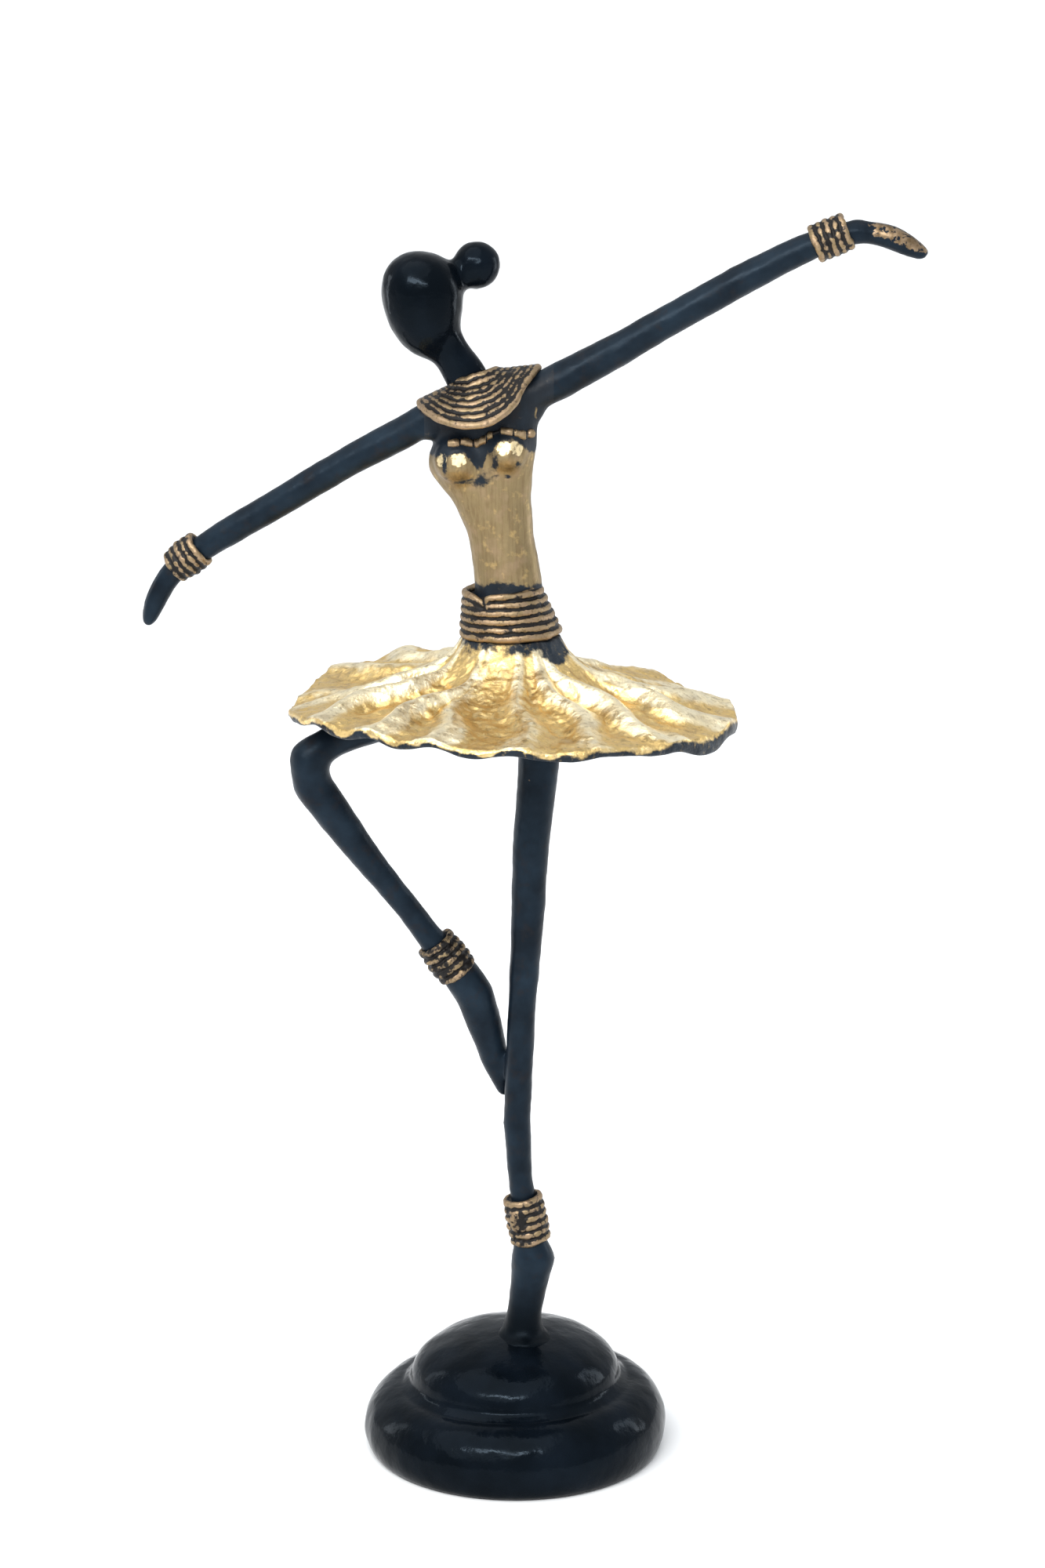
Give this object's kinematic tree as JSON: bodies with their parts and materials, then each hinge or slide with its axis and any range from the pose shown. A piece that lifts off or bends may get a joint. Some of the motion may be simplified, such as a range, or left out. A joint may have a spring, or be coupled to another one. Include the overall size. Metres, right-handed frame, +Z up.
{
  "type": "bronze statuette",
  "caption": "Cast bronze dancer on one toe with spread arms, a raised knee and a flaring polished skirt, on a round domed base.",
  "frame": {"origin": "middle of the whole statuette's bounding box, on the surface that the base stands on", "axes": "+Z up; the dancer faces -Y; the lowered arm and the raised knee are on the -X side"},
  "size_m": [0.2586, 0.148, 0.4271],
  "materials": {
    "patina": "blue-black patinated bronze, satin",
    "base_black": "near-black waxed patina, glossy",
    "skirt_gold": "polished bronze, hand filed, dark worn edge",
    "bodice_gold": "brushed bronze with dark patina in the hollows",
    "thread_band": "worn bronze ridges over dark grooves",
    "steel": "plain zinc plated"
  },
  "bodies": {
    "root": {"base": "base_black", "base_stud": "steel", "base_washer": "steel", "base_nut": "steel", "standing_foot": "patina", "standing_anklet": "thread_band", "standing_leg": "patina", "raised_thigh": "patina", "raised_shin": "patina", "raised_anklet": "thread_band", "raised_foot": "patina", "hips": "patina", "skirt": "skirt_gold", "waist_belt": "thread_band", "neckline_trim": "thread_band", "collar": "thread_band", "torso": "bodice_gold", "lowered_arm": "patina", "lowered_bracelet": "thread_band", "lowered_hand": "patina", "raised_arm": "patina", "raised_bracelet": "thread_band", "raised_hand": "patina", "neck": "patina", "head": "base_black", "hair_bun": "base_black"}
  },
  "joints": []
}
